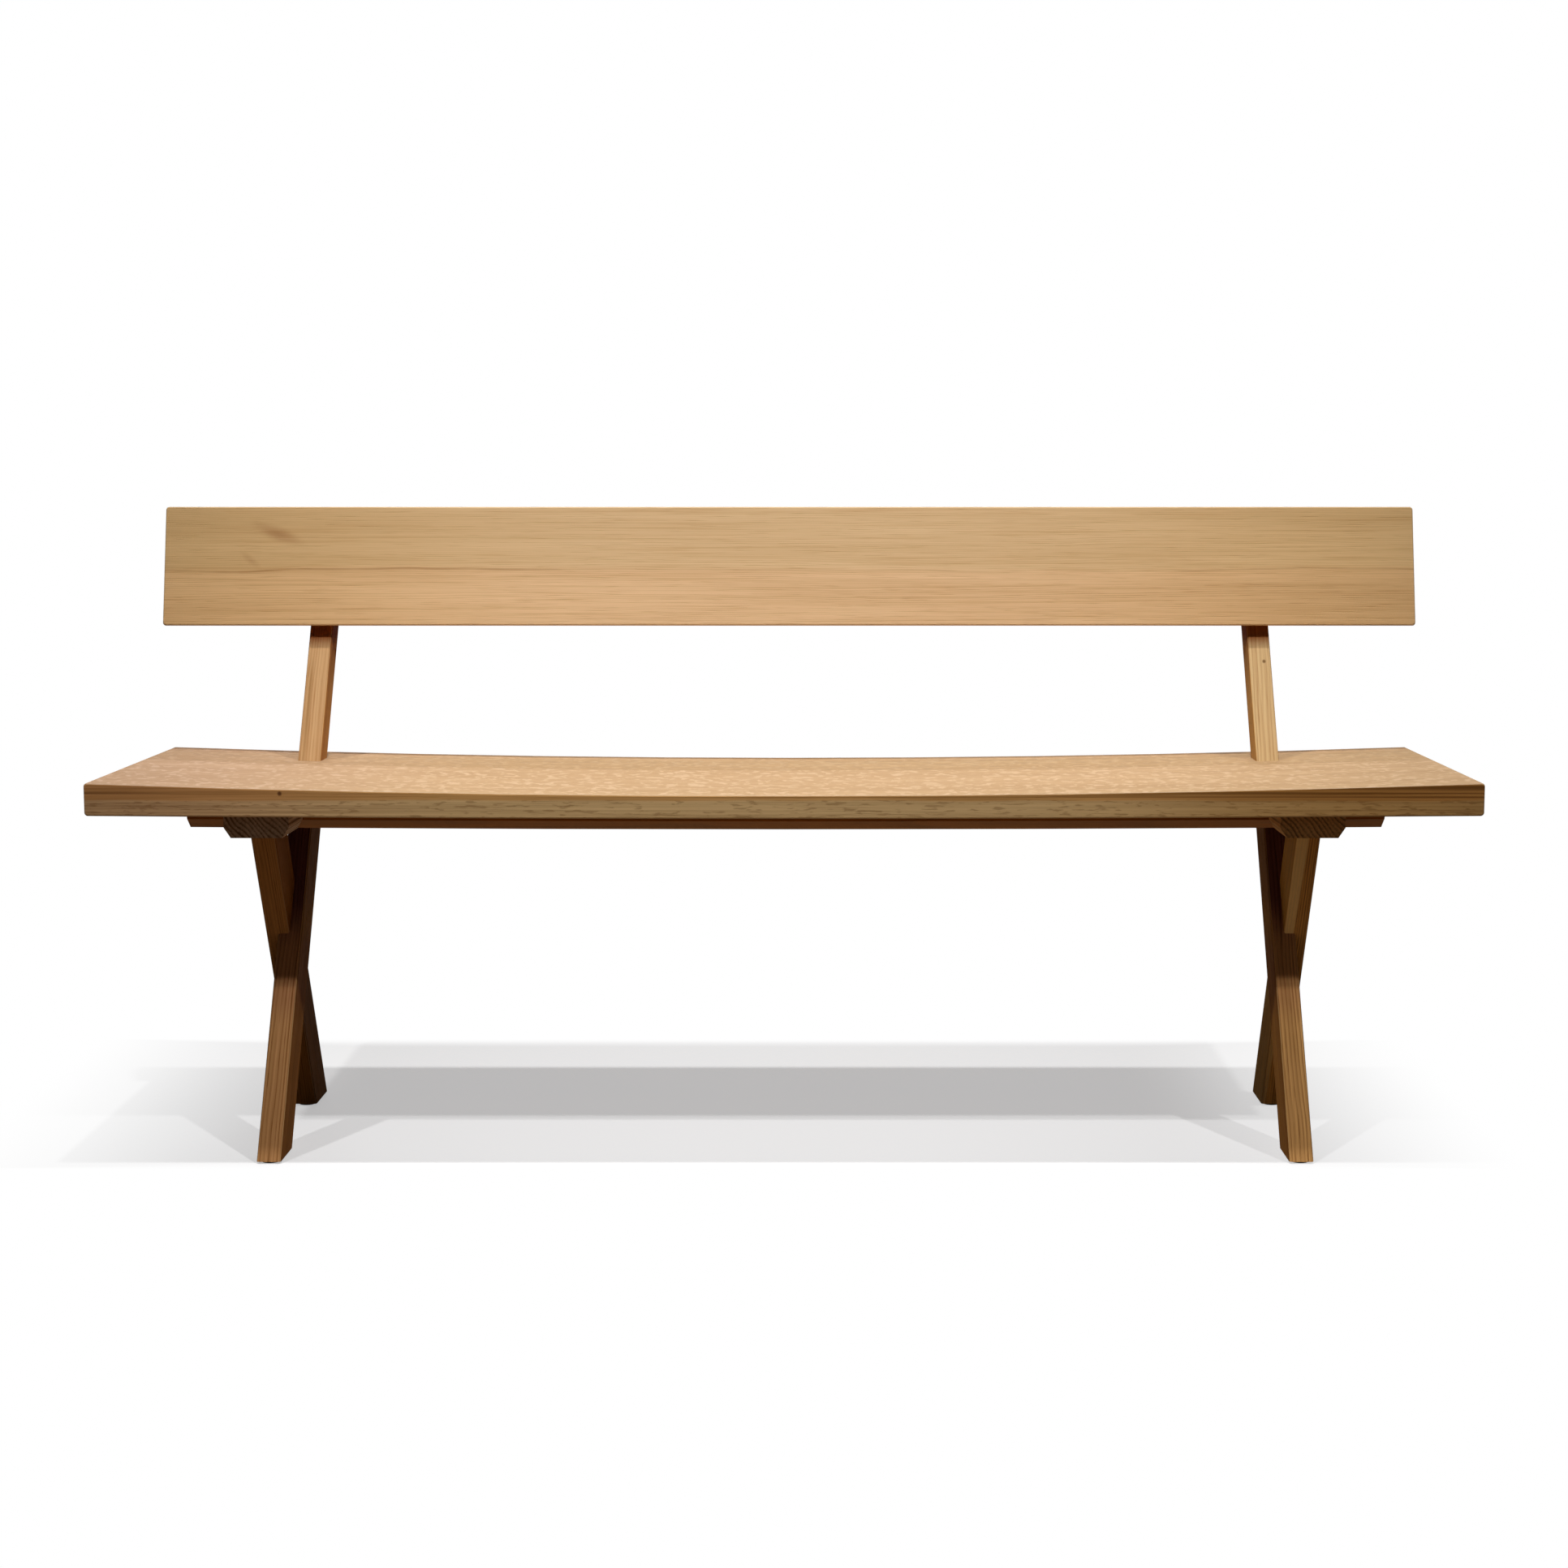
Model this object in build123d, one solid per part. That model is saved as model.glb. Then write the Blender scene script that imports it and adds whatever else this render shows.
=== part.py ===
from build123d import *
import math
import os

# A solid oak bench with a low backrest, carried on two halved X-frames.
# X runs along the seat, Y runs from the front edge to the back, Z runs up from the floor.
# The origin lies on the floor, under the middle of the whole bench.
# All lengths are in millimetres and all angles in degrees from upright.
# A setback is measured from the seat's front edge, and an inset from the nearest end or rear edge.

bench_length = 1600.0

# Seat: three staves glued edge to edge, hollowed along its length and settled a little in the middle.
seat_depth = 410.0
seat_height = 447.0
seat_end_thickness = 38.0
seat_dish = 10.5
seat_sag = 3.5
seat_corner = 4.0
seat_arris = 2.2
front_stave_depth = 128.0
rear_stave_depth = 154.0

# X-frames: each has a long leg that runs on up as the back post, and a short leg halved into it.
# The short leg stands half its thickness further out, so each gives up a quarter at the crossing.
# The feet and heads are the middles of the legs' cut ends, on the glides and under the bearer.
frame_inset = 199.0
leg_thickness = 28.5
leg_depth = 57.0
short_leg_depth = 63.0
leg_arris = 3.0
long_foot_setback = 41.0
long_head_inset = 139.4
short_foot_inset = 81.9
short_head_setback = 115.9

# Back posts: the thinner upper stretch of the long legs, with a ledge that carries the backrest.
post_depth = 39.0
post_ledge = 8.0
post_ledge_rise = 159.0
post_top_drop = 14.0

# Backrest: one wide board, its lower edge cut level to stand on the ledges.
board_width = 155.0
board_thickness = 28.0
board_corner = 4.0
board_arris = 2.2
board_angle = 13.0

# Bearers: the two cross pieces that the legs stand under, each centred on its pair of legs.
bearer_width = 75.0
bearer_height = 26.5
bearer_inset = 20.0
bearer_chamfer_width = 8.0
bearer_chamfer_height = 12.0

# Rail: the long stiffener under the seat, as high as the bearers that it is halved into.
rail_inset = 91.0
rail_setback = 100.0
rail_width = 84.0
rail_chamfer = 11.0
rail_end_slope = 3.0

# Countersunk screws, all of one gauge. The bite is how far a screw reaches into the last piece.
screw_diameter = 4.5
screw_head_diameter = 9.0
screw_head_height = 3.0
screw_socket_width = 3.0
screw_socket_depth = 2.0
screw_sink = 0.5
seat_screw_bite = 19.0
bearer_screw_inset = 40.0
rail_screw_inset = 34.0
rail_screw_count = 5
leg_screw_bite = 45.0
leg_screw_inset = 8.0
back_screw_bite = 12.0
back_screw_inset = 26.0

# Oak pegs and plugs.
post_peg_diameter = 8.0
post_peg_cover = 14.0
plug_diameter = 10.0
plug_length = 8.0

# Glides: felt pads under the four feet, a little smaller than the feet all round.
glide_thickness = 2.5
glide_inset = 4.0

# How far a cutting block runs past the wood that it cuts.
cut_overrun = 10.0


# Side view: a point is a pair of setback and height, and a line is a point and an angle.
def along(point, angle, distance):
    turn = math.radians(angle)
    return (point[0] + distance * math.sin(turn), point[1] + distance * math.cos(turn))


def meet(first, first_angle, second, second_angle):
    first_turn = math.radians(first_angle)
    second_turn = math.radians(second_angle)
    across = (second[0] - first[0], second[1] - first[1])
    spread = math.sin(second_turn - first_turn)
    distance = (math.sin(second_turn) * across[1] - math.cos(second_turn) * across[0]) / spread
    return along(first, first_angle, distance)


def angle_up(low, high):
    return math.degrees(math.atan2(high[0] - low[0], high[1] - low[1]))


LEVEL = 90.0
frame_x = bench_length / 2 - frame_inset
short_x = frame_x + leg_thickness / 2
bearer_x = (frame_x + short_x) / 2
seat_underside_height = seat_height - seat_end_thickness


def underside(x):
    radius = ((bench_length / 2) ** 2 + seat_sag ** 2) / (2 * seat_sag)
    return seat_underside_height - seat_sag + radius - math.sqrt(radius ** 2 - x ** 2)


bearer_foot = underside(bearer_x) - bearer_height
floor_line = (0, glide_thickness)
bearer_line = (0, bearer_foot)

# The legs' middle lines, and the faces that lie half a leg to either side of them.
long_foot = (long_foot_setback, glide_thickness)
long_head = (seat_depth - long_head_inset, bearer_foot)
long_angle = angle_up(long_foot, long_head)
long_front = along(long_foot, long_angle + LEVEL, -leg_depth / 2)
long_rear = along(long_foot, long_angle + LEVEL, leg_depth / 2)
post_front = along(long_rear, long_angle + LEVEL, -post_depth)

short_foot = (seat_depth - short_foot_inset, glide_thickness)
short_head = (short_head_setback, bearer_foot)
short_angle = angle_up(short_foot, short_head)
short_front = along(short_foot, short_angle + LEVEL, -short_leg_depth / 2)
short_rear = along(short_foot, short_angle + LEVEL, short_leg_depth / 2)

# The backrest stands on the ledge. Behind it the post bends upright and keeps its faces parallel.
ledge_front = meet(post_front, long_angle, (0, seat_height + post_ledge_rise), LEVEL)
board_heel = along(ledge_front, LEVEL, post_ledge)
board_foot = along(board_heel, LEVEL, -board_thickness / math.cos(math.radians(board_angle)))
board_top_front = along(board_foot, board_angle, board_width)
board_top_rear = along(board_top_front, board_angle + LEVEL, board_thickness)
post_bend = meet(long_rear, long_angle, board_heel, LEVEL)
post_top_front = along(board_top_rear, board_angle, -post_top_drop)
post_top_rear = meet(post_bend, board_angle, post_top_front, board_angle + LEVEL)
post_top_depth = math.dist(post_top_front, post_top_rear)

# The seat's front edge is the foremost point and the post's top the rearmost.
middle_y = post_top_rear[0] / 2

long_outline = [
    meet(long_front, long_angle, floor_line, LEVEL),
    meet(long_front, long_angle, bearer_line, LEVEL),
    meet(post_front, long_angle, bearer_line, LEVEL),
    ledge_front,
    board_heel,
    post_top_front,
    post_top_rear,
    post_bend,
    meet(long_rear, long_angle, floor_line, LEVEL),
]
short_outline = [
    meet(short_front, short_angle, floor_line, LEVEL),
    meet(short_front, short_angle, bearer_line, LEVEL),
    meet(short_rear, short_angle, bearer_line, LEVEL),
    meet(short_rear, short_angle, floor_line, LEVEL),
]
short_head_rear = short_outline[2]


# A solid drawn in the side view and given a width along X.
def side_block(outline, low_x, width):
    points = [(setback - middle_y, height) for setback, height in outline]
    side = Plane.YZ * Polygon(*points, align=None)
    return Pos(low_x, 0, 0) * extrude(side, amount=width, dir=(1, 0, 0))


# A solid drawn in the front view and given a depth along Y.
def front_block(outline, setback, depth):
    front = Plane.XZ * make_face(outline)
    return Pos(0, setback - middle_y, 0) * extrude(front, amount=depth, dir=(0, 1, 0))


def both_sides(right_piece):
    return {"right": right_piece, "left": mirror(right_piece, about=Plane.YZ)}


def eased(bar, angles):
    arrises = []
    for angle in angles:
        turn = math.radians(angle)
        arrises += bar.edges().filter_by(Axis((0, 0, 0), (0, math.sin(turn), math.cos(turn))))
    return fillet(arrises, leg_arris)


# The seat blank before it is parted into its staves, rounded at its ends and eased front and rear.
def seat_blank():
    end = bench_length / 2
    outline = [
        ThreePointArc(
            (-end, seat_underside_height),
            (0, seat_underside_height - seat_sag),
            (end, seat_underside_height),
        ),
        Line((end, seat_underside_height), (end, seat_height)),
        ThreePointArc(
            (end, seat_height),
            (0, seat_height - seat_sag - seat_dish),
            (-end, seat_height),
        ),
        Line((-end, seat_height), (-end, seat_underside_height)),
    ]
    blank = front_block(outline, 0, seat_depth)
    blank = fillet(blank.edges().filter_by(Axis.Y), seat_corner)
    return fillet(blank.faces().filter_by(Axis.Y).edges(), seat_arris)


def stave(blank, setback, depth):
    slab = Box(bench_length + cut_overrun, depth, seat_height + cut_overrun)
    return blank & Pos(0, setback + depth / 2 - middle_y, seat_height / 2) * slab


# The rail follows the seat's underside, with both lower edges chamfered and its ends undercut.
def rail_blank():
    end = bench_length / 2 - rail_inset
    foot_end = end - rail_end_slope
    top = underside(end)
    foot = top - bearer_height
    outline = [
        ThreePointArc((-end, top), (0, underside(0)), (end, top)),
        Line((end, top), (foot_end, foot)),
        ThreePointArc((foot_end, foot), (0, underside(0) - bearer_height), (-foot_end, foot)),
        Line((-foot_end, foot), (-end, top)),
    ]
    blank = front_block(outline, rail_setback, rail_width)
    lower_edges = blank.edges().filter_by(GeomType.CIRCLE).sort_by(Axis.Z)[:2]
    return chamfer(lower_edges, rail_chamfer)


# A bearer is scribed to the seat's underside, with both lower edges chamfered.
def bearer_blank():
    inner = bearer_x - bearer_width / 2
    outer = bearer_x + bearer_width / 2
    chamfer_top = bearer_foot + bearer_chamfer_height
    corners = [
        (outer, underside(outer)),
        (outer, chamfer_top),
        (outer - bearer_chamfer_width, bearer_foot),
        (inner + bearer_chamfer_width, bearer_foot),
        (inner, chamfer_top),
        (inner, underside(inner)),
    ]
    top = ThreePointArc(corners[-1], (bearer_x, underside(bearer_x)), corners[0])
    return front_block([Polyline(*corners), top], bearer_inset, seat_depth - 2 * bearer_inset)


# The rail is planed level with the bearers' feet where it crosses them, so the legs bear flat.
def planings():
    slab = Box(bearer_width, seat_depth, cut_overrun)
    return [Pos(side * bearer_x, 0, bearer_foot - cut_overrun / 2) * slab for side in (-1, 1)]


# Each leg is eased along its long arrises before its share of the joint is cut away.
def long_leg():
    bar = side_block(long_outline, frame_x - leg_thickness / 2, leg_thickness)
    half_lap = side_block(short_outline, bearer_x, leg_thickness)
    return eased(bar, [long_angle, board_angle]) - half_lap


def short_leg():
    bar = side_block(short_outline, short_x - leg_thickness / 2, leg_thickness)
    half_lap = side_block(long_outline, bearer_x - leg_thickness, leg_thickness)
    return eased(bar, [short_angle]) - half_lap


# The sloping mortise that the post passes through, in the bearer and in the seat.
def post_mortise():
    lower = (0, bearer_foot - cut_overrun)
    upper = (0, seat_height + cut_overrun)
    outline = [
        meet(post_front, long_angle, lower, LEVEL),
        meet(post_front, long_angle, upper, LEVEL),
        meet(long_rear, long_angle, upper, LEVEL),
        meet(long_rear, long_angle, lower, LEVEL),
    ]
    return eased(side_block(outline, frame_x - leg_thickness / 2, leg_thickness), [long_angle])


def backrest():
    corners = [board_foot, board_top_front, board_top_rear, board_heel]
    blank = side_block(corners, -bench_length / 2, bench_length)
    ends = blank.faces().filter_by(Axis.X)
    level = ends.edges().filter_by(Axis.Y)
    square = ends.edges().sort_by(Axis.Z)[-2:]
    blank = fillet(level + square, board_corner)
    return fillet(blank.faces().sort_by(SortBy.AREA)[-2:].edges(), board_arris)


def rod(diameter, length):
    return Cylinder(diameter / 2, length, align=(Align.CENTER, Align.CENTER, Align.MIN))


# A screw stands on its head at the origin and points up Z. Its hole sinks the head a little.
def screw_outline(length):
    stand = (Align.CENTER, Align.CENTER, Align.MIN)
    head = Cone(screw_head_diameter / 2, screw_diameter / 2, screw_head_height, align=stand)
    return head + rod(screw_diameter, length)


def screw(length):
    socket = extrude(RegularPolygon(screw_socket_width / 2, 6), amount=screw_socket_depth)
    return screw_outline(length) - socket


def screw_hole(length):
    return screw_outline(length) + Pos(0, 0, -screw_sink) * rod(screw_head_diameter, screw_sink)


def at_all(places, shape):
    return [place * shape for place in places]


# Seat screws come up from below: four through each bearer, beyond the legs, and a row through the rail.
def bearer_screw_places():
    row_inset = bearer_inset + bearer_screw_inset
    half_spread = bearer_width / 4
    return [
        Pos(side * x, setback - middle_y, bearer_foot + screw_sink)
        for side in (-1, 1)
        for x in (bearer_x - half_spread, bearer_x + half_spread)
        for setback in (row_inset, seat_depth - row_inset)
    ]


def rail_screw_places():
    reach = bench_length - 2 * rail_inset - 2 * rail_screw_inset
    y = rail_setback + rail_width / 2 - middle_y
    places = []
    for count in range(rail_screw_count):
        x = count * reach / (rail_screw_count - 1) - reach / 2
        places.append(Pos(x, y, underside(x) - bearer_height + screw_sink))
    return places


# Leg screws go down through rail and bearer into the short leg's end grain, clear of its leaning faces.
def leg_screw_places():
    top = underside(short_x) - screw_sink
    tip_front = meet(short_front, short_angle, (0, bearer_foot - leg_screw_bite), LEVEL)
    setbacks = (tip_front[0] + leg_screw_inset, short_head_rear[0] - leg_screw_inset)
    return [
        Pos(side * short_x, setback - middle_y, top) * Rot(2 * LEVEL, 0, 0)
        for side in (-1, 1)
        for setback in setbacks
    ]


# A peg locks each post in its bearer, driven in from the outer end of the bench.
def post_peg_places():
    outer = bearer_x + bearer_width / 2
    height = (bearer_foot + bearer_chamfer_height + underside(outer)) / 2
    front = meet(post_front, long_angle, (0, height), LEVEL)
    rear = meet(long_rear, long_angle, (0, height), LEVEL)
    y = (front[0] + rear[0]) / 2 - middle_y
    return [Pos(side * outer, y, height) * Rot(0, -side * LEVEL, 0) for side in (-1, 1)]


# Back screws run square to the board from a depth in the back of the post, and plugs close their holes.
def back_screw_places(depth):
    places = []
    for rise in (back_screw_inset, math.dist(board_heel, post_top_front) - back_screw_inset):
        spot = along(along(board_heel, board_angle, rise), board_angle + LEVEL, post_top_depth - depth)
        for side in (-1, 1):
            place = Pos(side * frame_x, spot[0] - middle_y, spot[1])
            places.append(place * Rot(LEVEL - board_angle, 0, 0))
    return places


# A glide lies under the middle of each foot.
def glides():
    pads = []
    width = leg_thickness - 2 * glide_inset
    for outline, x in ((long_outline, frame_x), (short_outline, short_x)):
        front, rear = outline[0][0], outline[-1][0]
        pad = extrude(SlotOverall(rear - front - 2 * glide_inset, width), amount=glide_thickness)
        middle = (front + rear) / 2 - middle_y
        pads += [Pos(side * x, middle, 0) * Rot(0, 0, LEVEL) * pad for side in (-1, 1)]
    return pads


def build():
    seat_screw_length = bearer_height - screw_sink + seat_screw_bite
    leg_screw_length = bearer_height - screw_sink + leg_screw_bite
    back_screw_length = post_top_depth - plug_length + back_screw_bite
    post_peg_length = bearer_width - post_peg_cover

    bearer_spots = bearer_screw_places()
    rail_spots = rail_screw_places()
    leg_spots = leg_screw_places()
    peg_spots = post_peg_places()
    plug_spots = back_screw_places(0)
    back_spots = back_screw_places(plug_length)
    seat_holes = at_all(bearer_spots + rail_spots, screw_hole(seat_screw_length))
    leg_holes = at_all(leg_spots, screw_hole(leg_screw_length))
    peg_holes = at_all(peg_spots, rod(post_peg_diameter, post_peg_length))
    back_holes = at_all(back_spots, screw_hole(back_screw_length))
    plug_holes = at_all(plug_spots, rod(plug_diameter, plug_length))
    mortises = list(both_sides(post_mortise()).values())

    nodes = {}
    blank = seat_blank()
    setback = 0
    middle_stave_depth = seat_depth - front_stave_depth - rear_stave_depth
    stave_depths = {"front": front_stave_depth, "middle": middle_stave_depth, "rear": rear_stave_depth}
    for row, depth in stave_depths.items():
        nodes[f"seat_{row}_stave"] = stave(blank, setback, depth) - mortises - seat_holes
        setback += depth

    lap_plane = Plane.XY.offset(bearer_foot + bearer_height / 2)
    bearers = both_sides(bearer_blank())
    rail = rail_blank()
    rail_lap = split(rail, bisect_by=lap_plane, keep=Keep.TOP)
    bearer_laps = [split(bearer, bisect_by=lap_plane, keep=Keep.BOTTOM) for bearer in bearers.values()]
    nodes["seat_rail"] = rail - bearer_laps - planings() - seat_holes - leg_holes
    for side, bearer in bearers.items():
        nodes[f"{side}_bearer"] = bearer - rail_lap - mortises - seat_holes - leg_holes - peg_holes

    for side, leg in both_sides(long_leg()).items():
        nodes[f"{side}_long_leg"] = leg - peg_holes - back_holes - plug_holes
    for side, leg in both_sides(short_leg()).items():
        nodes[f"{side}_short_leg"] = leg - leg_holes
    nodes["backrest_board"] = backrest() - back_holes

    nodes["bearer_screws"] = Compound(at_all(bearer_spots, screw(seat_screw_length)))
    nodes["rail_screws"] = Compound(at_all(rail_spots, screw(seat_screw_length)))
    nodes["leg_screws"] = Compound(at_all(leg_spots, screw(leg_screw_length)))
    nodes["post_pegs"] = Compound(at_all(peg_spots, rod(post_peg_diameter, post_peg_length)))
    nodes["backrest_screws"] = Compound(at_all(back_spots, screw(back_screw_length)))
    nodes["backrest_plugs"] = Compound(at_all(plug_spots, rod(plug_diameter, plug_length)))
    nodes["floor_glides"] = Compound(glides())
    return nodes


os.makedirs("parts", exist_ok=True)
for name, shape in build().items():
    export_step(shape, f"parts/{name}.step")
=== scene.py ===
import math

import bpy
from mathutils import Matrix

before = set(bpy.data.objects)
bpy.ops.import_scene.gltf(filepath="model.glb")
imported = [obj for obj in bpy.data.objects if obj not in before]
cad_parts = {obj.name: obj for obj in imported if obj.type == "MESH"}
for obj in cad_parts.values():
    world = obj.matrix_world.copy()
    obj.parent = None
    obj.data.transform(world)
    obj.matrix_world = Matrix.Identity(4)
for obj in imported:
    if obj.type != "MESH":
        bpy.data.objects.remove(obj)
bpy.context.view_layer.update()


# Camera. The photograph was taken a little above the seat from three metres in front of it,
# slightly right of the middle and tilted down, with the frame moved sideways to centre the bench.
# Lengths in the picture are in pixels of the photograph.
photo_width = 1932
focal_length = 3200
picture_shift = -58
camera_place = (0.0535, -3.1772, 0.7876)
camera_tilt = 6.62

camera_data = bpy.data.cameras.new("camera")
camera_data.sensor_width = 36
camera_data.lens = focal_length / photo_width * 36
camera_data.shift_x = picture_shift / photo_width
camera_data.clip_end = 200
camera = bpy.data.objects.new("camera", camera_data)
camera.location = camera_place
camera.rotation_euler = (math.radians(90 - camera_tilt), 0, 0)
bpy.context.collection.objects.link(camera)
bpy.context.scene.camera = camera
bpy.context.scene.view_settings.view_transform = "Standard"


# Studio: a pale floor that runs out to a white surround. Two lamps stand in front of the bench,
# left and right, and a stronger one hangs over it. Two wide ones, a weak one in front and a
# fuller one behind, open up the shadows.
class Recipe:
    def __init__(self, owner):
        owner.use_nodes = True
        self.owner = owner
        self.nodes, self.links = owner.node_tree.nodes, owner.node_tree.links
        self.nodes.clear()

    def node(self, kind, sources=(), **settings):
        made = self.nodes.new(kind)
        for key, value in settings.items():
            setattr(made, key, value)
        for slot, source in sources:
            if isinstance(source, bpy.types.NodeSocket):
                self.links.new(source, made.inputs[slot])
            else:
                made.inputs[slot].default_value = source
        return made

    def maths(self, operation, *sources):
        return self.node("ShaderNodeMath", enumerate(sources), operation=operation).outputs[0]

    def vectors(self, operation, *sources):
        made = self.node("ShaderNodeVectorMath", enumerate(sources), operation=operation)
        return made.outputs["Value" if operation in ("DOT_PRODUCT", "LENGTH") else "Vector"]

    def parts(self, vector):
        return self.node("ShaderNodeSeparateXYZ", [(0, vector)]).outputs

    def total(self, *sources):
        result = sources[0]
        for source in sources[1:]:
            result = self.maths("ADD", result, source)
        return result

    def product(self, *sources):
        result = sources[0]
        for source in sources[1:]:
            result = self.maths("MULTIPLY", result, source)
        return result

    def fade(self, source, start, end, low=0.0, high=1.0):
        limits = [("From Min", start), ("From Max", end), ("To Min", low), ("To Max", high)]
        made = self.node("ShaderNodeMapRange", [("Value", source), *limits])
        made.interpolation_type = "SMOOTHSTEP"
        return made.outputs["Result"]

    def cloud(self, vector, cells, detail=2.0, output="Fac"):
        stretched = self.vectors("MULTIPLY", vector, cells)
        settings = [("Vector", stretched), ("Scale", 1.0), ("Detail", detail)]
        return self.node("ShaderNodeTexNoise", settings).outputs[output]

    def tone(self, amount, first, second, blend="MIX"):
        sources = [(0, amount)]
        for slot, source in ((6, first), (7, second)):
            is_socket = isinstance(source, bpy.types.NodeSocket)
            sources.append((slot, source if is_socket else (*source, 1)))
        return self.node("ShaderNodeMix", sources, data_type="RGBA", blend_type=blend).outputs[2]

    def seen(self):
        path = self.node("ShaderNodeLightPath").outputs
        either = self.maths("MAXIMUM", path["Is Camera Ray"], path["Is Glossy Ray"])
        return self.maths("MAXIMUM", either, path["Is Transmission Ray"])

    def close(self, shader, kind="ShaderNodeOutputMaterial"):
        self.links.new(shader, self.node(kind).inputs["Surface"])
        return self.owner


# The floor is pale and lit near the bench, and fades to white beside, before and behind it.
shadow_middle = -0.06
beside_from, beside_to = 0.50, 0.94
before_from, before_to = -0.250, -0.218
behind_from, behind_to = 0.40, 0.46
floor_half = 30

floor_paint = Recipe(bpy.data.materials.new("floor_paint"))
spot = floor_paint.node("ShaderNodeNewGeometry").outputs["Position"]
across, away, _ = floor_paint.parts(spot)
off_middle = floor_paint.maths("ABSOLUTE", floor_paint.maths("ADD", across, -shadow_middle))
beside = floor_paint.fade(off_middle, beside_from, beside_to)
before = floor_paint.fade(away, before_from, before_to, 1.0, 0.0)
behind = floor_paint.fade(away, behind_from, behind_to)
far_off = floor_paint.maths("MAXIMUM", beside, floor_paint.maths("MAXIMUM", before, behind))
lit = floor_paint.node("ShaderNodeBsdfDiffuse", [("Color", (0.56, 0.56, 0.56, 1))]).outputs[0]
glow = floor_paint.node("ShaderNodeEmission", [("Color", (0.412, 0.412, 0.416, 1))]).outputs[0]
near = floor_paint.node("ShaderNodeAddShader", [(0, lit), (1, glow)]).outputs[0]
white = floor_paint.node("ShaderNodeEmission", [("Color", (1, 1, 1, 1))]).outputs[0]
shown = floor_paint.node("ShaderNodeMixShader", [(0, far_off), (1, near), (2, white)]).outputs[0]
bounce = floor_paint.node("ShaderNodeBsdfDiffuse", [("Color", (0.26, 0.18, 0.11, 1))]).outputs[0]
coats = [(0, floor_paint.seen()), (1, bounce), (2, shown)]
floor_coat = floor_paint.node("ShaderNodeMixShader", coats).outputs[0]

corners = [(-floor_half, -floor_half, 0), (floor_half, -floor_half, 0),
           (floor_half, floor_half, 0), (-floor_half, floor_half, 0)]
floor_mesh = bpy.data.meshes.new("studio_floor")
floor_mesh.from_pydata(corners, [], [(0, 1, 2, 3)])
floor_mesh.materials.append(floor_paint.close(floor_coat))
floor = bpy.data.objects.new("studio_floor", floor_mesh)
bpy.context.collection.objects.link(floor)

surround = Recipe(bpy.data.worlds.new("surround"))
fill = surround.node("ShaderNodeBackground", [("Color", (0.026, 0.022, 0.018, 1))]).outputs[0]
backdrop = surround.node("ShaderNodeBackground", [("Color", (1, 1, 1, 1))]).outputs[0]
halves = [(0, surround.seen()), (1, fill), (2, backdrop)]
sky = surround.node("ShaderNodeMixShader", halves).outputs[0]
bpy.context.scene.world = surround.close(sky, "ShaderNodeOutputWorld")


def lamp(name, kind, turn, height, level, softness):
    distance, aim_height, reach = 7.0, 0.58, 1.32
    turn, height, softness = (math.radians(angle) for angle in (turn, height, softness))
    light = bpy.data.lights.new(name, kind)
    holder = bpy.data.objects.new(name, light)
    holder.rotation_euler = (math.pi / 2 - height, 0, turn)
    bpy.context.collection.objects.link(holder)
    if kind == "SUN":
        light.energy = level * math.pi
        light.angle = softness
        return
    light.energy = level * 4 * math.pi ** 2 * distance ** 2
    light.shadow_soft_size = distance * math.tan(softness / 2)
    light.spot_size = 2 * math.atan(reach / distance)
    light.spot_blend = 1.0
    level_distance = distance * math.cos(height)
    holder.location = (
        level_distance * math.sin(turn),
        -level_distance * math.cos(turn),
        aim_height + distance * math.sin(height),
    )


lamp("left_lamp", "SPOT", -46, 49.1, 0.41, 1.5)
lamp("right_lamp", "SPOT", 46, 46.6, 0.41, 1.5)
lamp("overhead_lamp", "SPOT", 0, 86, 0.64, 1.5)
lamp("front_fill", "SUN", 0, 25, 0.03, 60)
lamp("rear_fill", "SUN", 180, 15, 0.36, 50)


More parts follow.
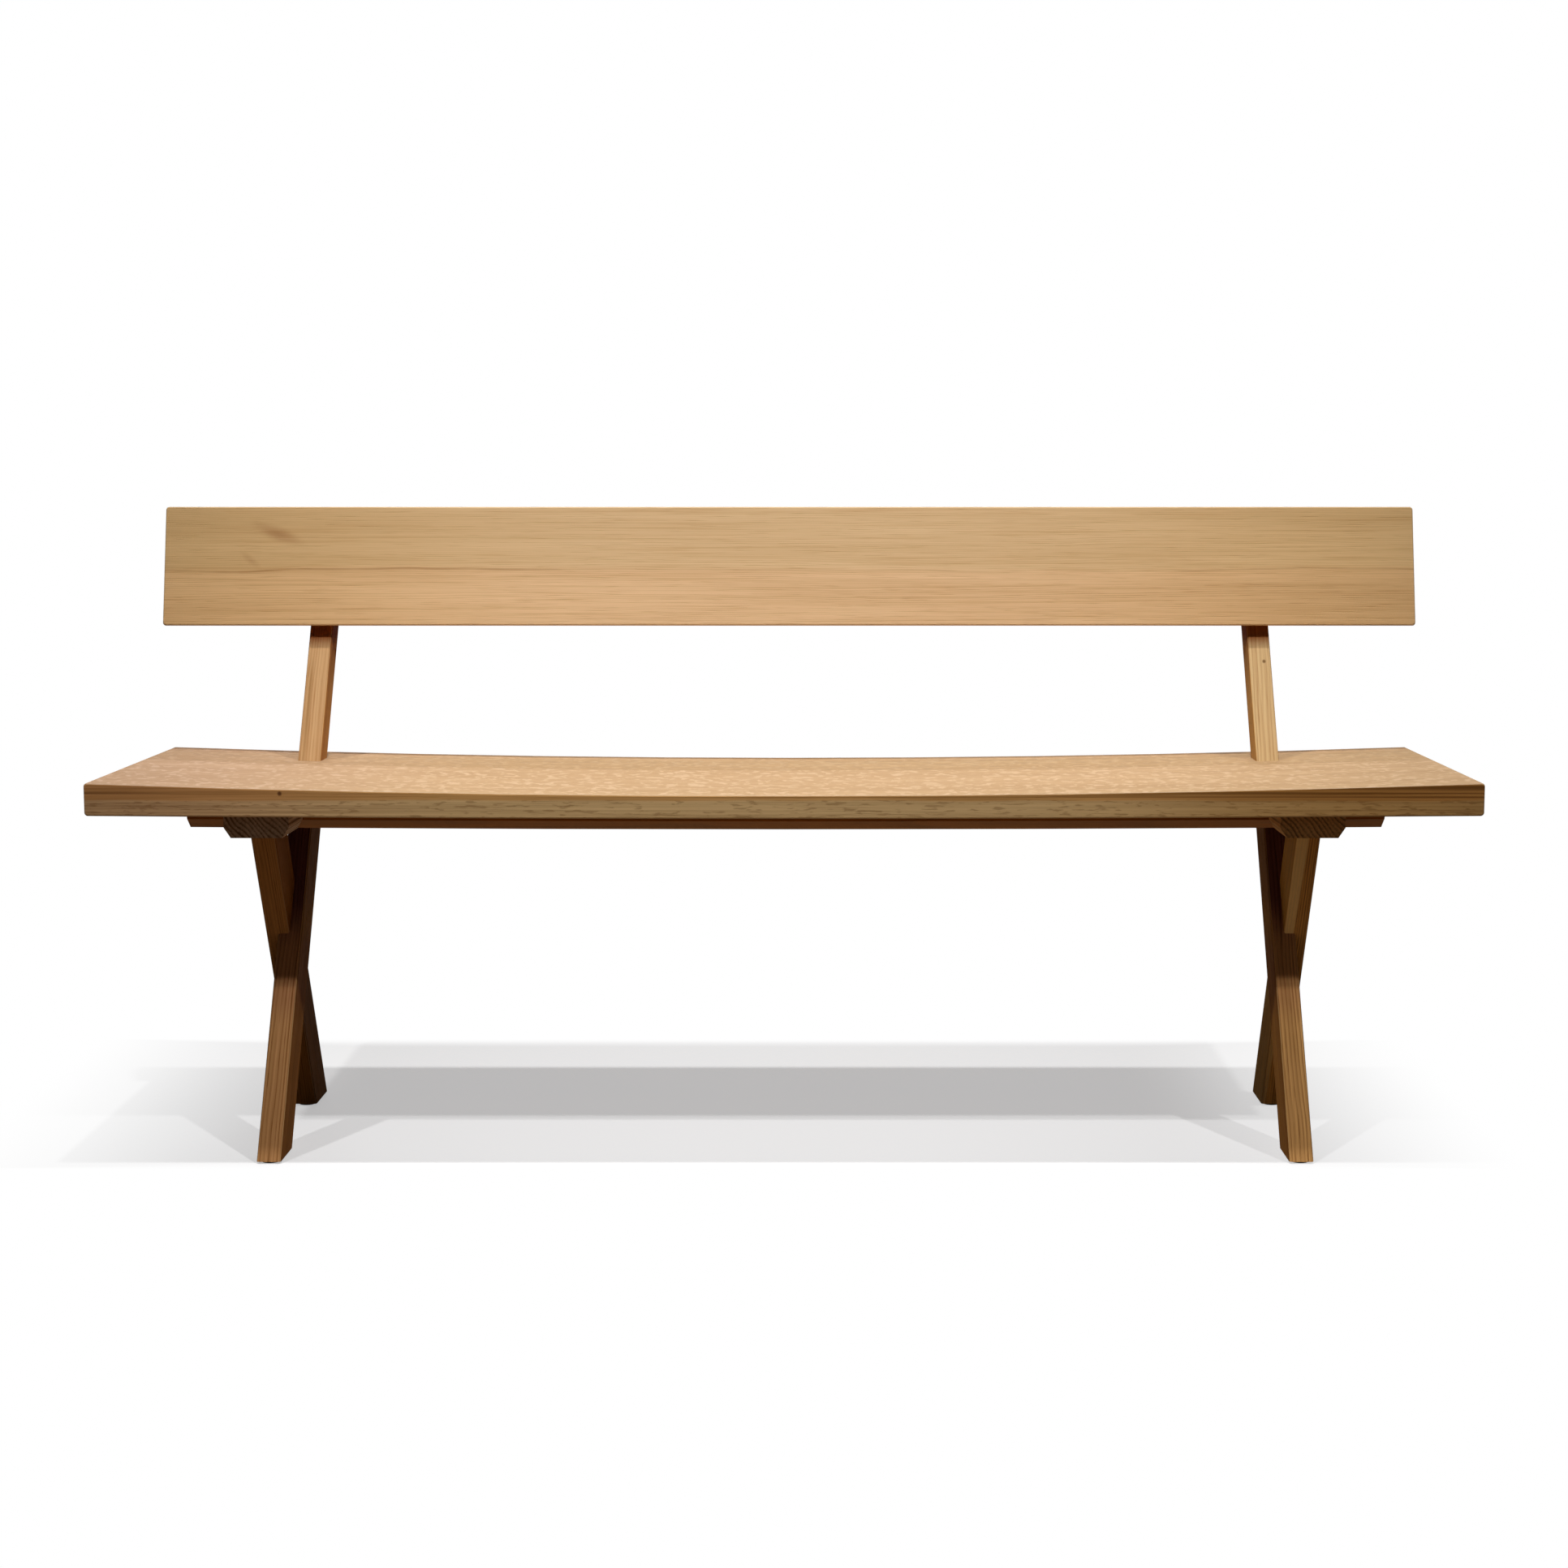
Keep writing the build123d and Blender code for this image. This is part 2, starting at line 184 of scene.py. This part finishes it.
# Seat: a thick plank of oak, glued up from three quarter-sawn staves. Their tops show the silky
# flecks of the rays, and the front edge, sawn across them, is browner and carries short dark
# dashes.
class Oak(Recipe):
    # A board out of a trunk. The heart is a point on the trunk's middle line, the turn lays that
    # line along the piece, and the ring is one year's growth. Noise takes cells per metre.
    def __init__(self, name, heart, turn, seed, ring, wander=0.02, wavy=5.0):
        super().__init__(bpy.data.materials.new(name))
        turn = tuple(math.radians(angle) for angle in turn)
        self.place = self.node("ShaderNodeTexCoord").outputs["Object"]
        self.normal = self.node("ShaderNodeNewGeometry").outputs["Normal"]
        laid = [("Vector", self.place), ("Location", heart), ("Rotation", turn)]
        straight = self.node("ShaderNodeMapping", laid, vector_type="TEXTURE").outputs[0]
        turned = [("Vector", self.normal), ("Rotation", turn)]
        facing = self.node("ShaderNodeMapping", turned, vector_type="TEXTURE").outputs[0]
        self.seeded = self.vectors("ADD", straight, (seed, seed * 0.7, seed * 1.3))

        # A trunk is never quite straight, so its rings wander along the grain.
        bends = self.cloud(self.seeded, (1.8, 3.0, 3.0), 3.0, "Color")
        sway = self.vectors("SUBTRACT", bends, (0.5, 0.5, 0.5))
        log = self.vectors("ADD", straight, self.vectors("MULTIPLY", sway, (0, wander, wander)))
        self.length, across, up = self.parts(log)
        outward = self.vectors("MULTIPLY", log, (0, 1, 1))
        self.radius = self.vectors("LENGTH", outward)
        self.angle = self.maths("ARCTAN2", up, across)

        # How the surface faces the log: square to the grain, along a ray, or on a rounded arris.
        end, side, top = (self.maths("ABSOLUTE", part) for part in self.parts(facing))
        self.end = self.fade(end, 0.55, 0.9)
        tangent = self.vectors("CROSS_PRODUCT", self.vectors("NORMALIZE", outward), (1, 0, 0))
        self.quarter = self.maths("ABSOLUTE", self.vectors("DOT_PRODUCT", facing, tangent))
        squarest = self.maths("MAXIMUM", end, self.maths("MAXIMUM", side, top))
        self.arris = self.fade(squarest, 0.72, 0.86, 1.0, 0.0)

        # Rings: each year has a dark porous start and a smooth close, and a depth of its own.
        uneven = self.cloud(self.seeded, (0.7, 30.0, 30.0), 1.0)
        years = self.total(self.maths("DIVIDE", self.radius, ring), self.product(uneven, wavy))
        year = self.maths("FRACT", years)
        number = [("W", self.maths("FLOOR", years))]
        own = self.node("ShaderNodeTexWhiteNoise", number, noise_dimensions="1D").outputs["Value"]
        spring = self.product(self.fade(year, 0.0, 0.10), self.fade(year, 0.16, 0.75, 1.0, 0.0))
        self.spring = self.product(spring, self.maths("MULTIPLY_ADD", own, 0.9, 0.35))

        # Pores are short open streaks, the fibre is fine and long, the drift broad and faint.
        streaks = self.cloud(self.seeded, (26.0, 1100.0, 1100.0), 1.0)
        self.pores = self.product(self.fade(streaks, 0.55, 0.68), self.fade(spring, 0.0, 0.8, 0.3, 1.0))
        self.fibre = self.fade(self.cloud(self.seeded, (4.0, 340.0, 340.0), 3.0), 0.3, 0.7)
        self.drift = self.fade(self.cloud(self.seeded, (1.2, 26.0, 26.0), 2.0), 0.3, 0.7)

    def rays(self, tall=95.0, deep=60.0, thin=900.0, low=0.50, high=0.64):
        usual_radius = 0.3
        slant = self.cloud(self.seeded, (14.0, 40.0, 40.0), 1.0)
        along = self.total(self.length, self.product(slant, 0.03))
        cells = [
            (0, self.product(along, tall)),
            (1, self.product(self.radius, deep)),
            (2, self.product(self.angle, usual_radius * thin)),
        ]
        sheet = self.node("ShaderNodeCombineXYZ", cells).outputs[0]
        settings = [("Vector", sheet), ("Scale", 1.0), ("Detail", 2.0)]
        return self.fade(self.node("ShaderNodeTexNoise", settings).outputs["Fac"], low, high)

    def grain(self, pale, deep, drift=0.22, fibre=0.26, rings=0.30, pores=0.26):
        shade = self.total(
            self.product(self.drift, drift),
            self.product(self.fibre, fibre),
            self.product(self.spring, rings),
            self.product(self.pores, pores),
        )
        return self.tone(self.node("ShaderNodeClamp", [(0, shade)]).outputs[0], pale, deep)

    def stain(self, amount, colour, tint):
        return self.tone(amount, colour, self.tone(1.0, colour, tint, "MULTIPLY"))

    def from_spot(self, x, z):
        flattened = self.vectors("MULTIPLY", self.place, (1, 0, 1))
        return self.vectors("LENGTH", self.vectors("SUBTRACT", flattened, (x, 0, z)))

    # Painted shade: faces that look sideways are darkened by the tint.
    def sides(self, colour, tint):
        sideways = self.maths("ABSOLUTE", self.parts(self.normal)[0])
        return self.stain(self.fade(sideways, 0.5, 0.9), colour, tint)

    def finish(
        self, colour, end_tone=(0.72, 0.66, 0.60), wear_and_highlight=0.16, wear_and_highlight_tone=(1.0, 0.86, 0.66),
        rays=None, shine=0.05,
    ):
        dullest, sharpest, relief, relief_depth = 0.89, 0.79, 0.35, 0.00025
        colour = self.stain(self.end, colour, end_tone)
        # Arrises are lightened, partly as wear and partly as a painted highlight on edges the lamps
        # leave in shade.
        colour = self.tone(self.product(self.arris, wear_and_highlight), colour, wear_and_highlight_tone)
        mottle = self.cloud(self.seeded, (30.0, 90.0, 90.0), 2.0)
        rough = self.total(
            self.fade(mottle, 0.3, 0.7, sharpest, dullest),
            self.product(self.pores, 0.14),
            self.product(self.end, 0.12),
            self.product(self.arris, -0.06),
        )
        height = self.total(
            self.product(self.pores, -1.0),
            self.product(self.spring, -0.3),
            self.product(self.fibre, -0.2),
        )
        if rays:
            height = self.total(height, self.product(rays, 0.35))
        ridges = [("Height", height), ("Strength", relief), ("Distance", relief_depth)]
        bump = self.node("ShaderNodeBump", ridges).outputs[0]
        oil = [("IOR", 1.45), ("Specular IOR Level", shine)]
        skin = [("Base Color", colour), ("Roughness", rough), ("Normal", bump), *oil]
        return self.close(self.node("ShaderNodeBsdfPrincipled", skin).outputs[0])


def dress(node_name, material):
    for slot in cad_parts[node_name].material_slots:
        slot.material = material


seat_heart_height = 0.428
along_bench = (0, 0, 0)
peach, peach_deep = (0.58, 0.38, 0.21), (0.37, 0.22, 0.10)
tan, tan_deep = (0.54, 0.35, 0.18), (0.32, 0.185, 0.08)
blush = (0.61, 0.375, 0.20)
fleck, stray_fleck, dark_fleck = (0.74, 0.53, 0.34), (0.70, 0.49, 0.30), (0.36, 0.235, 0.125)
edge_brown, edge_deep = (0.70, 0.385, 0.14), (0.30, 0.14, 0.035)
edge_grey, edge_grey_deep = (0.72, 0.49, 0.235), (0.30, 0.17, 0.065)
edge_line, knot_brown = (0.19, 0.085, 0.02), (0.10, 0.035, 0.01)
left_edge_shade_tint, right_edge_shade_tint = (0.92, 0.84, 0.78), (0.70, 0.59, 0.44)
left_end_tint = (1.0, 0.98, 1.10)
blush_from, blush_to = 0.134, 0.142
split_from, split_to = 0.4275, 0.4305

for name, heart_y, seed in (
    ("seat_front_stave", -0.62, 1.0),
    ("seat_middle_stave", 0.38, 2.0),
    ("seat_rear_stave", -0.30, 3.0),
):
    heart = (0, heart_y, seat_heart_height)
    oak = Oak(f"{name}_oak", heart, along_bench, seed, ring=0.0032, wander=0.012)
    across, back, height = oak.parts(oak.place)
    left_end = oak.fade(across, -0.75, -0.35, 1.0, 0.0)
    hatched = oak.maths("MULTIPLY_ADD", oak.fibre, 0.8, 0.25)
    rays = oak.product(oak.rays(), oak.fade(oak.quarter, 0.5, 0.95), hatched)
    if name == "seat_rear_stave":
        inner, outer = oak.grain(tan, tan_deep, rings=0.2), oak.grain(blush, tan_deep, rings=0.25)
        top = oak.tone(oak.fade(back, blush_from, blush_to), inner, outer)
        dark_rays = oak.rays(tall=75.0, low=0.48, high=0.62)
        top = oak.tone(oak.product(dark_rays, 0.32), top, dark_fleck)
        top = oak.tone(oak.product(rays, 0.35), top, stray_fleck)
    else:
        top = oak.tone(oak.product(rays, 0.62), oak.grain(peach, peach_deep, rings=0.2), fleck)
    short_rays = oak.rays(tall=60.0, deep=20.0, thin=420.0, low=0.56, high=0.66)
    dashes = oak.product(short_rays, oak.fade(oak.quarter, 0.2, 0.7, 1.0, 0.0))
    if name == "seat_front_stave":
        # The front edge is brown above and greyer with dashes below; its ends carry painted shade,
        # darker and redder.
        wobble = oak.cloud(oak.seeded, (9.0, 9.0, 9.0), 2.0)
        split = oak.fade(oak.total(height, oak.product(wobble, 0.004)), split_from, split_to)
        upper = oak.grain(edge_brown, edge_deep, drift=0.30, fibre=0.45, rings=0.35, pores=0.15)
        lower = oak.grain(edge_grey, edge_grey_deep, drift=0.20, fibre=0.30, rings=0.15, pores=0.20)
        lower = oak.tone(oak.product(dashes, 0.55), lower, edge_grey_deep)
        edge = oak.tone(split, lower, upper)
        long_lines = oak.fade(oak.cloud(oak.seeded, (0.9, 30.0, 250.0), 3.0), 0.49, 0.62)
        ends = oak.fade(oak.maths("ABSOLUTE", across), 0.15, 0.70)
        at_ends = oak.fade(ends, 0.0, 1.0, 0.35, 0.75)
        on_upper = oak.fade(split, 0.0, 1.0, 0.45, 1.0)
        edge = oak.tone(oak.product(long_lines, at_ends, on_upper), edge, edge_line)
        # Painted shade darkens both ends of the front edge.
        edge = oak.stain(left_end, edge, left_edge_shade_tint)
        edge = oak.stain(oak.fade(across, 0.20, 0.65), edge, right_edge_shade_tint)
        pin_knot = oak.fade(oak.from_spot(-0.576, 0.435), 0.0012, 0.0036, 0.9, 0.0)
        edge = oak.tone(pin_knot, edge, knot_brown)
        colour = oak.tone(oak.fade(oak.parts(oak.normal)[2], 0.25, 0.75), edge, top)
    else:
        colour = oak.tone(oak.product(dashes, 0.4), top, tan_deep)
    colour = oak.stain(left_end, colour, left_end_tint)
    dress(name, oak.finish(colour, wear_and_highlight=0.28, rays=rays))


# Rail: a long oak stiffener screwed up against the seat, with bevelled lower edges. Its underside and
# the low light under the seat darken it, and its tone is painted darker still as shade, so it is the
# darkest of the long pieces.
rail_shaded_tone, rail_shaded_deep = (0.42, 0.142, 0.012), (0.20, 0.060, 0.005)
oak = Oak("rail_oak", (0, -0.30, 0.20), along_bench, 5.0, ring=0.0035)
dress("seat_rail", oak.finish(oak.grain(rail_shaded_tone, rail_shaded_deep)))


# Bearers: the two cross pieces that the legs stand under, halved over the rail and screwed to the
# seat. Their front ends are end grain, and the rings run down it from left to right.
bearer_deep = (0.20, 0.095, 0.030)
bearer_end = (0.80, 0.78, 0.78)

for side, middle, seed, bearer_tone in (
    ("left", -0.608, 6.0, (0.66, 0.47, 0.33)),
    ("right", 0.608, 7.0, (0.74, 0.40, 0.15)),
):
    heart, turn = (middle - 0.75, 0, -0.25), (0, 0, 90)
    oak = Oak(f"{side}_bearer_oak", heart, turn, seed, ring=0.0048, wander=0.006, wavy=2.6)
    colour = oak.grain(bearer_tone, bearer_deep, drift=0.20, fibre=0.30, rings=0.62)
    dress(f"{side}_bearer", oak.finish(colour, end_tone=bearer_end))


# Long legs: one length of oak from the front foot, through bearer and seat, up to the backrest.
# Above the seat it is the post, planed thinner; below the seat it carries a browner tone, which is
# painted shade. More painted shade deepens it under the seat, and a painted shadow of the board lies
# across the post just under the board.
post_deep, leg_deep = (0.36, 0.17, 0.06), (0.21, 0.088, 0.024)
streak_brown, post_knot = (0.30, 0.15, 0.05), (0.14, 0.06, 0.02)
shade_under_seat_tint, deep_shade_under_seat_tint, board_shadow_tint = (0.80, 0.74, 0.78), (0.36, 0.30, 0.66), (0.39, 0.19, 0.10)
post_side_shade, board_shadow_side_tint = (0.90, 0.72, 0.48), (0.62, 0.44, 0.30)
leg_side_shade, deep_shade_side_tint = (0.44, 0.34, 0.18), (1.20, 1.15, 0.16)
leg_wear_and_highlight = (0.92, 0.66, 0.34)
seat_bottom, seat_top = 0.395, 0.435
board_from, board_to = 0.612, 0.640

for side, middle, seed, post_tone, leg_tone in (
    ("left", -0.601, 8.0, (0.64, 0.40, 0.200), (0.58, 0.305, 0.130)),
    ("right", 0.601, 9.0, (0.71, 0.51, 0.262), (0.73, 0.405, 0.148)),
):
    heart, turn = (middle + 0.10, -0.01, 0.157), (0, -59, 90)
    oak = Oak(f"{side}_long_leg_oak", heart, turn, seed, ring=0.0034, wander=0.03)
    across, _, height = oak.parts(oak.place)
    above = oak.fade(height, seat_bottom, seat_top)
    below = oak.fade(height, seat_bottom, seat_top, 1.0, 0.0)
    under_board = oak.fade(height, board_from, board_to, 1.0, 0.0)
    leg = oak.grain(leg_tone, leg_deep, drift=0.3, rings=0.4)
    post = oak.grain(post_tone, post_deep, drift=0.3, rings=0.34)
    # Below the seat the browner tone is painted shade.
    colour = oak.tone(above, leg, post)
    if side == "left":
        off_streak = oak.maths("ABSOLUTE", oak.maths("ADD", across, 0.608))
        streak = oak.product(
            oak.fade(off_streak, 0.0008, 0.0035, 1.0, 0.0),
            oak.fade(height, 0.42, 0.50, 0.3, 0.6),
            oak.fade(height, 0.53, 0.585, 1.0, 0.0),
        )
        colour = oak.tone(streak, colour, streak_brown)
    else:
        pin_knot = oak.fade(oak.from_spot(0.606, 0.561), 0.001, 0.003, 0.8, 0.0)
        colour = oak.tone(pin_knot, colour, post_knot)
    # Painted shade under the seat: darker from the crossing up, and deeper still near the seat.
    shade_under_seat = oak.product(oak.fade(height, 0.14, 0.18), below)
    colour = oak.stain(shade_under_seat, colour, shade_under_seat_tint)
    deep_shade_under_seat = oak.product(oak.fade(height, 0.22, 0.29), below)
    colour = oak.stain(deep_shade_under_seat, colour, deep_shade_under_seat_tint)
    # Painted shadow of the board on the post, just under it, left off the back faces.
    not_back = oak.fade(oak.parts(oak.normal)[1], 0.1, 0.5, 1.0, 0.0)
    board_shadow = oak.product(oak.fade(height, 0.576, 0.594), under_board, not_back)
    colour = oak.stain(board_shadow, colour, board_shadow_tint)
    # On the side faces the board's painted shadow reaches further down the post.
    board_shadow_sides = oak.product(oak.fade(height, 0.50, 0.60), under_board)
    # Painted shade on the side faces: a light tint on the post, deeper and browner ones below the seat.
    upper_side_shade = oak.tone(board_shadow_sides, post_side_shade, board_shadow_side_tint)
    lower_side_shade = oak.tone(deep_shade_under_seat, leg_side_shade, deep_shade_side_tint)
    colour = oak.sides(colour, oak.tone(above, lower_side_shade, upper_side_shade))
    dress(f"{side}_long_leg", oak.finish(colour, wear_and_highlight=0.30, wear_and_highlight_tone=leg_wear_and_highlight, shine=0.02))


# Short legs: they stand half a leg's thickness further out than the long ones, are halved into them
# where the two cross, and end under the bearer's front half. Same oak, same browner tone; painted shade
# darkens their feet and side faces.
short_side_shade, inner_strip_tone = (0.64, 0.52, 0.30), (0.98, 0.74, 0.36)

for side, middle, seed, leg_tone, foot_shade_tint in (
    ("left", -0.615, 10.0, (0.50, 0.240, 0.078), (0.45, 0.43, 0.36)),
    ("right", 0.615, 11.0, (0.86, 0.45, 0.125), (0.71, 0.67, 0.60)),
):
    heart, turn = (middle + 0.12, -0.025, 0.155), (0, -60.5, -90)
    oak = Oak(f"{side}_short_leg_oak", heart, turn, seed, ring=0.0034, wander=0.03)
    across, _, height = oak.parts(oak.place)
    colour = oak.grain(leg_tone, leg_deep, drift=0.3, rings=0.4)
    # The right short leg has a paler inner strip, widening upwards.
    if side == "right":
        leaning = oak.total(across, oak.product(height, -0.03))
        inner_strip = oak.fade(leaning, 0.6035, 0.6065, 1.0, 0.0)
        colour = oak.tone(oak.product(inner_strip, 0.55), colour, inner_strip_tone)
    # Painted shade on the feet, which stand under the seat.
    colour = oak.stain(oak.fade(height, 0.16, 0.24, 1.0, 0.0), colour, foot_shade_tint)
    # Painted shade darkens the short leg's side faces.
    colour = oak.sides(colour, short_side_shade)
    dress(f"{side}_short_leg", oak.finish(colour, wear_and_highlight=0.18, shine=0.02))


# Backrest: one wide oak board with fine straight grain, screwed to the posts from behind. A dark
# year runs along it, clearest at the left, olive above and pinker below it. A knot clouds the
# board near its left end.
olive, olive_deep = (0.81, 0.575, 0.33), (0.48, 0.285, 0.115)
pink, pink_deep = (0.85, 0.58, 0.335), (0.50, 0.285, 0.12)
hairline_brown, year_brown = (0.50, 0.27, 0.105), (0.38, 0.185, 0.070)
cloud_brown, board_end_shade_tint = (0.42, 0.215, 0.095), (0.92, 0.87, 0.74)
dark_year = 0.5244

oak = Oak("board_oak", (0, 0.055, 0.16), (-13, 0, 0), 4.0, ring=0.0026, wander=0.022)
across = oak.parts(oak.place)[0]
waver = oak.maths("SUBTRACT", oak.cloud(oak.place, (3.4, 0.0, 0.0), 2.0), 0.5)
from_year = oak.total(oak.radius, -dark_year, oak.product(waver, 0.018))
lower = oak.grain(pink, pink_deep, drift=0.24, fibre=0.16, rings=0.20, pores=0.26)
upper = oak.grain(olive, olive_deep, drift=0.24, fibre=0.14, rings=0.16, pores=0.22)
colour = oak.tone(oak.fade(from_year, -0.004, 0.006), lower, upper)
hairlines = oak.fade(oak.cloud(oak.seeded, (6.0, 420.0, 420.0), 2.0), 0.56, 0.66)
colour = oak.tone(oak.product(hairlines, 0.26), colour, hairline_brown)

line = oak.fade(oak.maths("ABSOLUTE", from_year), 0.0003, 0.0021, 1.0, 0.0)
broken = oak.fade(oak.cloud(oak.seeded, (9.0, 8.0, 8.0), 3.0), 0.36, 0.58, 0.30, 1.0)
left_part = oak.fade(across, -0.42, -0.10, 0.56, 0.20)
right_part = oak.fade(across, 0.15, 0.50, 0.0, 0.32)
presence = oak.maths("MAXIMUM", left_part, right_part)
colour = oak.tone(oak.product(line, broken, presence), colour, year_brown)

swirl = oak.fade(oak.cloud(oak.seeded, (22.0, 120.0, 120.0), 3.0), 0.36, 0.62, 0.55, 1.0)
for patch, slope, reach, width, depth in (
    ((-0.655, 0.180, 0.722), 20, 0.046, 0.013, 0.62),
    ((-0.690, 0.170, 0.689), 40, 0.022, 0.007, 0.36),
):
    lean = math.radians(slope)
    offset = oak.vectors("SUBTRACT", oak.place, patch)
    lengthwise = (math.cos(lean) / reach, 0, -math.sin(lean) / reach)
    crosswise = (math.sin(lean) / width, 0, math.cos(lean) / width)
    run = oak.vectors("DOT_PRODUCT", offset, lengthwise)
    rise = oak.vectors("DOT_PRODUCT", offset, crosswise)
    away = oak.maths("SQRT", oak.total(oak.product(run, run), oak.product(rise, rise)))
    smear = oak.product(oak.fade(away, 0.0, 1.0, depth, 0.0), swirl)
    colour = oak.tone(smear, colour, cloud_brown)
# Painted shade: the board turns darker and warmer towards both ends.
board_end_shade = oak.fade(oak.maths("ABSOLUTE", across), 0.20, 0.80)
colour = oak.stain(board_end_shade, colour, board_end_shade_tint)
# The board's arrises get a strong painted highlight, which lifts its shaded lower edge.
dress("backrest_board", oak.finish(colour, wear_and_highlight=0.45))


# Fastenings: zinc-plated countersunk screws with hexagon sockets, and oak pegs and plugs turned
# from offcuts, driven in and cut off flush.
zinc_dark, zinc_bright = (0.50, 0.50, 0.52), (0.66, 0.66, 0.67)
offcut_ring = 0.0016

zinc = Recipe(bpy.data.materials.new("zinc_steel"))
place = zinc.node("ShaderNodeTexCoord").outputs["Object"]
spangle = zinc.cloud(place, (900.0, 900.0, 900.0), 2.0)
colour = zinc.tone(zinc.fade(spangle, 0.35, 0.65), zinc_dark, zinc_bright)
rough = zinc.fade(spangle, 0.3, 0.7, 0.28, 0.42)
dimples = [("Height", spangle), ("Strength", 0.15), ("Distance", 0.0001)]
dents = zinc.node("ShaderNodeBump", dimples).outputs[0]
plating = [("Base Color", colour), ("Metallic", 1.0), ("Roughness", rough), ("Normal", dents)]
zinc_steel = zinc.close(zinc.node("ShaderNodeBsdfPrincipled", plating).outputs[0])
for name in ("bearer_screws", "rail_screws", "leg_screws", "backrest_screws"):
    dress(name, zinc_steel)

# The pegs take the rail's tone, painted shade included.
oak = Oak("peg_oak", (0, 0.061, 0.39), (0, 0, 0), 12.0, ring=offcut_ring)
dress("post_pegs", oak.finish(oak.grain(rail_shaded_tone, rail_shaded_deep, rings=0.5)))
oak = Oak("plug_oak", (0, 0.21, 0.60), (0, 0, 90), 13.0, ring=offcut_ring)
colour = oak.grain(post_tone, post_deep, rings=0.5)
dress("backrest_plugs", oak.finish(colour, end_tone=(0.85, 0.8, 0.75)))


# Glides: discs of pressed grey felt, glued under the four feet so that the bench can be moved
# without marking the floor.
felt_dark, felt_pale = (0.045, 0.040, 0.036), (0.11, 0.10, 0.09)

felt = Recipe(bpy.data.materials.new("grey_felt"))
place = felt.node("ShaderNodeTexCoord").outputs["Object"]
hairs = felt.cloud(place, (1500.0, 1500.0, 1500.0), 4.0)
tufts = felt.cloud(place, (260.0, 260.0, 260.0), 2.0)
colour = felt.tone(felt.fade(felt.total(hairs, tufts), 0.7, 1.3), felt_dark, felt_pale)
nap = [("Height", hairs), ("Strength", 0.6), ("Distance", 0.0004)]
fuzz = felt.node("ShaderNodeBump", nap).outputs[0]
softness = [("Sheen Weight", 0.3), ("Specular IOR Level", 0.2)]
pile = [("Base Color", colour), ("Roughness", 0.95), ("Normal", fuzz), *softness]
dress("floor_glides", felt.close(felt.node("ShaderNodeBsdfPrincipled", pile).outputs[0]))
